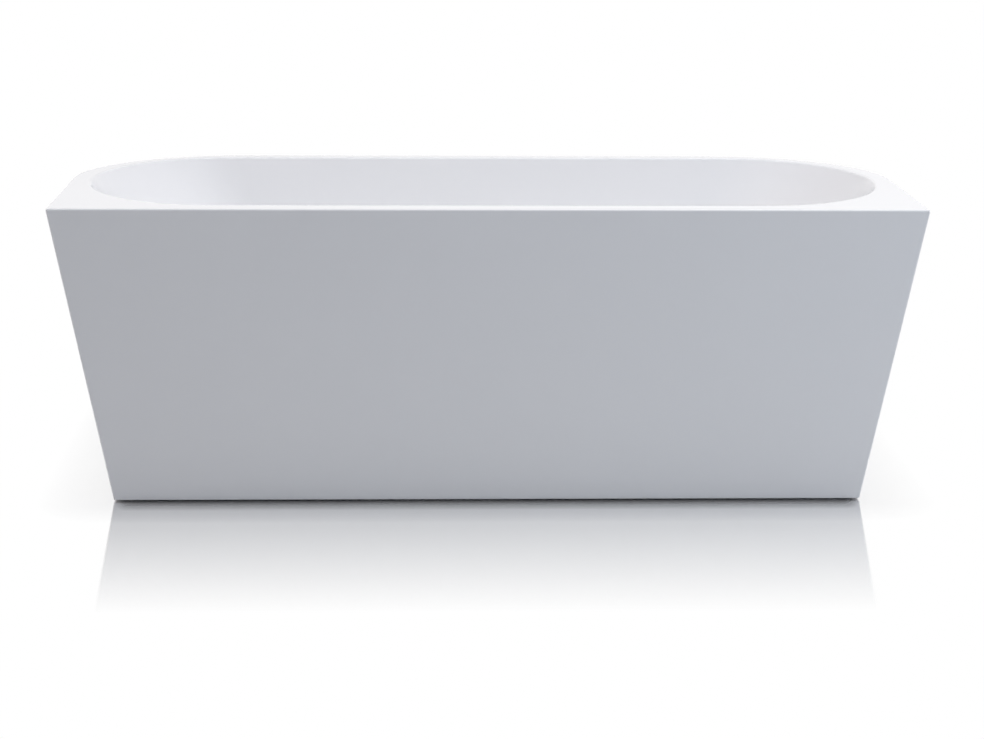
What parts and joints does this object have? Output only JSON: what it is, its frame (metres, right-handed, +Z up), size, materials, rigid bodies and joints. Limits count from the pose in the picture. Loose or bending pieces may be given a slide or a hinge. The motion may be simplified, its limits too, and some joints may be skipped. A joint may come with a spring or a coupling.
{
  "type": "freestanding bathtub",
  "caption": "Back-to-wall freestanding bathtub: flat vertical back, rounded tapered front, oval basin, pop-up waste, overflow and screw-adjusted levelling feet.",
  "frame": {"origin": "on the floor, under the middle of the rim", "axes": "+Z up, +X along the length, -Y out of the flat back that the picture shows"},
  "size_m": [1.6982, 0.7494, 0.58],
  "materials": {
    "white_acrylic": "gloss white sanitary acrylic",
    "plywood": "raw plywood",
    "galvanised_steel": "galvanised",
    "zinc_plated_steel": "bright zinc plate",
    "black_plastic": "moulded matt",
    "white_plastic": "moulded satin",
    "grey_plastic": "corrugated",
    "chrome_plate": "polished",
    "bare_brass": "turned",
    "seal_rubber": "matt"
  },
  "bodies": {
    "tub": {"inner_shell": "white_acrylic", "outer_skirt": "white_acrylic", "base_board": "plywood", "back_rail": "galvanised_steel", "front_rail": "galvanised_steel", "cross_bars": "galvanised_steel", "rail_end_caps": "black_plastic", "skirt_stays": "galvanised_steel", "weld_nuts": "zinc_plated_steel", "lock_nuts": "zinc_plated_steel", "waste_flange": "chrome_plate", "flange_gasket": "seal_rubber", "waste_washer": "seal_rubber", "waste_body": "white_plastic", "waste_tailpiece": "white_plastic", "plug_cartridge": "bare_brass", "plug_spring": "zinc_plated_steel", "overflow_cover": "chrome_plate", "overflow_screw": "chrome_plate", "overflow_gasket": "seal_rubber", "overflow_elbow": "white_plastic", "overflow_hose": "grey_plastic", "hose_clips": "zinc_plated_steel"},
    "plug": {"plug_cap": "chrome_plate", "plug_seal": "seal_rubber", "plug_stem": "bare_brass"},
    "back_left_pad": {"back_left_foot_pad": "black_plastic"},
    "back_left_stud": {"back_left_foot_stud": "zinc_plated_steel"},
    "back_right_pad": {"back_right_foot_pad": "black_plastic"},
    "back_right_stud": {"back_right_foot_stud": "zinc_plated_steel"},
    "front_left_pad": {"front_left_foot_pad": "black_plastic"},
    "front_left_stud": {"front_left_foot_stud": "zinc_plated_steel"},
    "front_right_pad": {"front_right_foot_pad": "black_plastic"},
    "front_right_stud": {"front_right_foot_stud": "zinc_plated_steel"}
  },
  "joints": [
    {"name": "plug_lift", "type": "slide", "parent": "tub", "child": "plug", "axis": [0, 0, 1], "range_m": [0, 0.01], "deforming": ["plug_spring"]},
    {"name": "back_left_level", "type": "slide", "parent": "tub", "child": "back_left_pad", "axis": [0, 0, -1], "range_m": [0, 0.02]},
    {"name": "back_left_screw", "type": "hinge", "parent": "back_left_pad", "child": "back_left_stud", "pos_m": [-0.49, -0.13, 0.06], "axis": [0, 0, -1], "range_deg": [0, 4115]},
    {"name": "back_right_level", "type": "slide", "parent": "tub", "child": "back_right_pad", "axis": [0, 0, -1], "range_m": [0, 0.02]},
    {"name": "back_right_screw", "type": "hinge", "parent": "back_right_pad", "child": "back_right_stud", "pos_m": [0.49, -0.13, 0.06], "axis": [0, 0, -1], "range_deg": [0, 4115]},
    {"name": "front_left_level", "type": "slide", "parent": "tub", "child": "front_left_pad", "axis": [0, 0, -1], "range_m": [0, 0.02]},
    {"name": "front_left_screw", "type": "hinge", "parent": "front_left_pad", "child": "front_left_stud", "pos_m": [-0.49, 0.13, 0.06], "axis": [0, 0, -1], "range_deg": [0, 4115]},
    {"name": "front_right_level", "type": "slide", "parent": "tub", "child": "front_right_pad", "axis": [0, 0, -1], "range_m": [0, 0.02]},
    {"name": "front_right_screw", "type": "hinge", "parent": "front_right_pad", "child": "front_right_stud", "pos_m": [0.49, 0.13, 0.06], "axis": [0, 0, -1], "range_deg": [0, 4115]}
  ],
  "couplings": [
    {"joint": "back_left_screw", "follows": "back_left_level", "rad_per_m": 3590.4},
    {"joint": "back_right_screw", "follows": "back_right_level", "rad_per_m": 3590.4},
    {"joint": "front_left_screw", "follows": "front_left_level", "rad_per_m": 3590.4},
    {"joint": "front_right_screw", "follows": "front_right_level", "rad_per_m": 3590.4}
  ]
}
